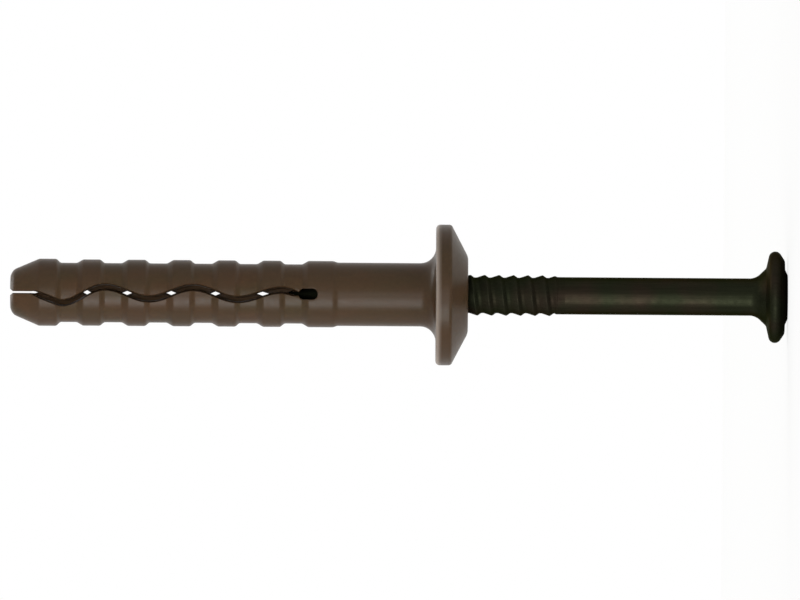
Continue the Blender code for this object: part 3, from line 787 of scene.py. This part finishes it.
def burnished_steel(n):
    """Cold-headed carbon steel with a burnished, oiled skin.

    It gives the eye a near-black olive with a low, soft gleam drawn out along the shank, brown tints in the
    skin, fine lines from the drawing die, and paler steel on the thread's crests and the head's rim.
    """
    made, tree, shader = new_finish("burnished_carbon_steel")
    place = add(tree, "ShaderNodeTexCoord").outputs["Object"]
    tint = add(tree, "ShaderNodeTexNoise", {"Scale": 1 / TINT_PATCH, "Detail": 2}, {"Vector": place})
    tint_share = add(tree, "ShaderNodeMapRange", {"From Min": 0.42, "From Max": 0.7},
                     {"Value": tint.outputs["Fac"]})
    base = add(tree, "ShaderNodeMix", {"data_type": "RGBA", 6: (*n.steel, 1), 7: (*n.steel_warm, 1)},
               {0: tint_share.outputs[0]})
    drawn = add(tree, "ShaderNodeMapping", {"Scale": (1, 1, DIE_LINE_STRETCH)}, {"Vector": place})
    lines = add(tree, "ShaderNodeTexNoise", {"Scale": 1 / DIE_LINE, "Detail": 2, "Roughness": 0.6},
                {"Vector": drawn.outputs[0]}).outputs["Fac"]
    value = add(tree, "ShaderNodeMapRange",
                {"From Min": 0.3, "From Max": 0.7, "To Min": 0.85, "To Max": 1.15}, {"Value": lines})
    lined = add(tree, "ShaderNodeHueSaturation", {}, {"Color": base.outputs[2], "Value": value.outputs[0]})
    rubbed = add(tree, "ShaderNodeAttribute", {"attribute_name": "rubbed"})
    patches = add(tree, "ShaderNodeTexNoise", {"Scale": 1 / RUBBED_PATCH, "Detail": 3},
                  {"Vector": place}).outputs["Fac"]
    wear_and_painted_highlight = add(tree, "ShaderNodeMath", {"operation": "MULTIPLY"}, {0: rubbed.outputs["Fac"], 1: patches})
    wear_and_painted_highlight = add(tree, "ShaderNodeMath", {"operation": "MULTIPLY", 1: 0.5}, {0: wear_and_painted_highlight.outputs[0]})
    painted = add(tree, "ShaderNodeMix", {"data_type": "RGBA", 7: (*n.steel_rubbed, 1)},
                  {0: wear_and_painted_highlight.outputs[0], 6: lined.outputs[0]})
    tree.links.new(painted.outputs[2], shader.inputs["Base Color"])
    roughness = add(tree, "ShaderNodeMapRange",
                    {"From Min": 0.3, "From Max": 0.7, "To Min": 0.38, "To Max": 0.48}, {"Value": patches})
    dull = add(tree, "ShaderNodeAttribute", {"attribute_name": "dull"})
    roughness = add(tree, "ShaderNodeMath", {"operation": "MULTIPLY_ADD", 1: 0.14},
                    {0: dull.outputs["Fac"], 2: roughness.outputs[0]})
    tree.links.new(roughness.outputs[0], shader.inputs["Roughness"])
    line_bump = add(tree, "ShaderNodeBump", {"Strength": 0.4, "Distance": 0.004 * MILLIMETRE},
                    {"Height": lines})
    bump = add(tree, "ShaderNodeBump", {"Strength": 0.5, "Distance": 0.01 * MILLIMETRE},
               {"Height": patches, "Normal": line_bump.outputs[0]})
    tree.links.new(bump.outputs[0], shader.inputs["Normal"])
    shader.inputs["Metallic"].default_value = 1
    # The oiled skin keeps the steel dark at a glancing angle too
    shader.inputs["Specular Tint"].default_value = (*n.steel_edge, 1)
    return made


def floor_finish(stage):
    """Matt white card. The camera sees it nearly white, and it still shows the object's shadow."""
    made, tree, shader = new_finish("matt_white_card")
    shader.inputs["Base Color"].default_value = (*stage.floor, 1)
    shader.inputs["Roughness"].default_value = 0.9
    white = add(tree, "ShaderNodeEmission", {"Color": (1, 1, 1, 1), "Strength": 1})
    ray = add(tree, "ShaderNodeLightPath")
    share = add(tree, "ShaderNodeMath", {"operation": "MULTIPLY", 1: FLOOR_WHITE},
                {0: ray.outputs["Is Camera Ray"]})
    mix = add(tree, "ShaderNodeMixShader", {},
              {0: share.outputs[0], 1: shader.outputs[0], 2: white.outputs[0]})
    tree.links.new(mix.outputs[0], tree.nodes["Material Output"].inputs["Surface"])
    return made


def make_floor(stage):
    """A round floor at height 0: a disc inside a ring, whose points lie on two circles about the axis."""
    radii = stage.floor_radius * np.array([[0.5], [1]])
    angles = np.linspace(0, 2 * math.pi, FLOOR_SIDES + 1)[None, :-1]
    points = around(radii, 0, angles).reshape(-1, 3)
    first = np.arange(FLOOR_SIDES)
    after = (first + 1) % FLOOR_SIDES
    quads = np.stack([first, first + FLOOR_SIDES, after + FLOOR_SIDES, after], axis=-1)
    mesh = bpy.data.meshes.new("floor")
    mesh.from_pydata(points.tolist(), [], [first.tolist()] + quads.tolist())
    mesh.materials.append(floor_finish(stage))
    floor = bpy.data.objects.new("floor", mesh)
    bpy.context.scene.collection.objects.link(floor)


def make_lamp(name, place, aim, width, height, power):
    """A soft white oblong lamp at a place, turned to what it aims at."""
    lamp = bpy.data.lights.new(name, "AREA")
    lamp.shape = "RECTANGLE"
    lamp.size, lamp.size_y = width, height
    lamp.energy = power
    holder = bpy.data.objects.new(name, lamp)
    bpy.context.scene.collection.objects.link(holder)
    holder.location = place
    holder.rotation_euler = Vector(np.subtract(aim, place)).to_track_quat("-Z", "Y").to_euler()


def make_world():
    """White to the camera, in gloss and through glass, and a plain pale light for everything else."""
    world = bpy.data.worlds.new("studio")
    bpy.context.scene.world = world
    world.use_nodes = True
    tree = world.node_tree
    background = tree.nodes["Background"]
    background.inputs["Color"].default_value = (1, 1, 1, 1)
    ray = add(tree, "ShaderNodeLightPath")
    seen = ray.outputs["Is Camera Ray"]
    for kind in ("Is Glossy Ray", "Is Transmission Ray"):
        either = add(tree, "ShaderNodeMath", {"operation": "MAXIMUM"}, {0: seen, 1: ray.outputs[kind]})
        seen = either.outputs[0]
    strength = add(tree, "ShaderNodeMapRange", {"To Min": WORLD_LEVEL, "To Max": 1}, {"Value": seen})
    tree.links.new(strength.outputs[0], background.inputs["Strength"])


def make_camera(stage):
    """A camera far along -Y with its right side towards the floor, as the picture lies on its side."""
    lens = bpy.data.cameras.new("camera")
    lens.sensor_width = SENSOR_WIDTH
    lens.lens = SENSOR_WIDTH * stage.camera_distance / stage.picture_width
    lens.clip_start, lens.clip_end = NEAREST, FARTHEST
    camera = bpy.data.objects.new("camera", lens)
    bpy.context.scene.collection.objects.link(camera)
    facing = Matrix(((0, 1, 0, -stage.picture_drop), (0, 0, -1, -stage.camera_distance),
                     (-1, 0, 0, stage.picture_middle), (0, 0, 0, 1)))
    camera.matrix_world = facing @ Matrix.Rotation(stage.camera_roll, 4, "Z")
    bpy.context.scene.camera = camera


class FIXING_OT_make_sleeve(bpy.types.Operator):
    """Makes the moulded sleeve and its plastic"""

    bl_idname = "fixing.make_sleeve"
    bl_label = "Make the sleeve"

    def execute(self, context):
        make_sleeve(context.scene.fixing_sleeve)
        return {"FINISHED"}


class FIXING_OT_make_nail(bpy.types.Operator):
    """Makes the drive nail and its steel"""

    bl_idname = "fixing.make_nail"
    bl_label = "Make the nail"

    def execute(self, context):
        make_nail(context.scene.fixing_nail)
        return {"FINISHED"}


class FIXING_OT_make_stage(bpy.types.Operator):
    """Makes the floor, the lamps, the world and the camera"""

    bl_idname = "fixing.make_stage"
    bl_label = "Make the stage"

    def execute(self, context):
        stage = context.scene.fixing_stage
        make_floor(stage)
        make_world()
        for name, place, width, height, power in LAMPS:
            make_lamp(name, place, (0, 0, stage.picture_middle), width, height, power)
        make_camera(stage)
        context.scene.view_settings.view_transform = "Standard"
        return {"FINISHED"}


class FIXING_PT_panel(bpy.types.Panel):
    """Lists the steps that make the fixing, with their sizes and colours"""

    bl_idname = "FIXING_PT_panel"
    bl_label = "Hammer fixing plug"
    bl_space_type = "VIEW_3D"
    bl_region_type = "UI"
    bl_category = "Fixing"

    def draw(self, context):
        scene = context.scene
        steps = (("fixing.make_sleeve", scene.fixing_sleeve), ("fixing.make_nail", scene.fixing_nail),
                 ("fixing.make_stage", scene.fixing_stage))
        for operator, settings in steps:
            box = self.layout.box()
            box.operator(operator)
            for name in settings.__annotations__:
                box.prop(settings, name)


CLASSES = (SleeveSettings, NailSettings, StageSettings, FIXING_OT_make_sleeve, FIXING_OT_make_nail,
           FIXING_OT_make_stage, FIXING_PT_panel)


def register():
    for entry in CLASSES:
        bpy.utils.register_class(entry)
    bpy.types.Scene.fixing_sleeve = bpy.props.PointerProperty(type=SleeveSettings)
    bpy.types.Scene.fixing_nail = bpy.props.PointerProperty(type=NailSettings)
    bpy.types.Scene.fixing_stage = bpy.props.PointerProperty(type=StageSettings)


def unregister():
    del bpy.types.Scene.fixing_stage
    del bpy.types.Scene.fixing_nail
    del bpy.types.Scene.fixing_sleeve
    for entry in reversed(CLASSES):
        bpy.utils.unregister_class(entry)


def main():
    """Makes the pieces and the stage in order."""
    register()
    bpy.ops.fixing.make_sleeve()
    bpy.ops.fixing.make_nail()
    bpy.ops.fixing.make_stage()


if __name__ == "__main__":
    main()
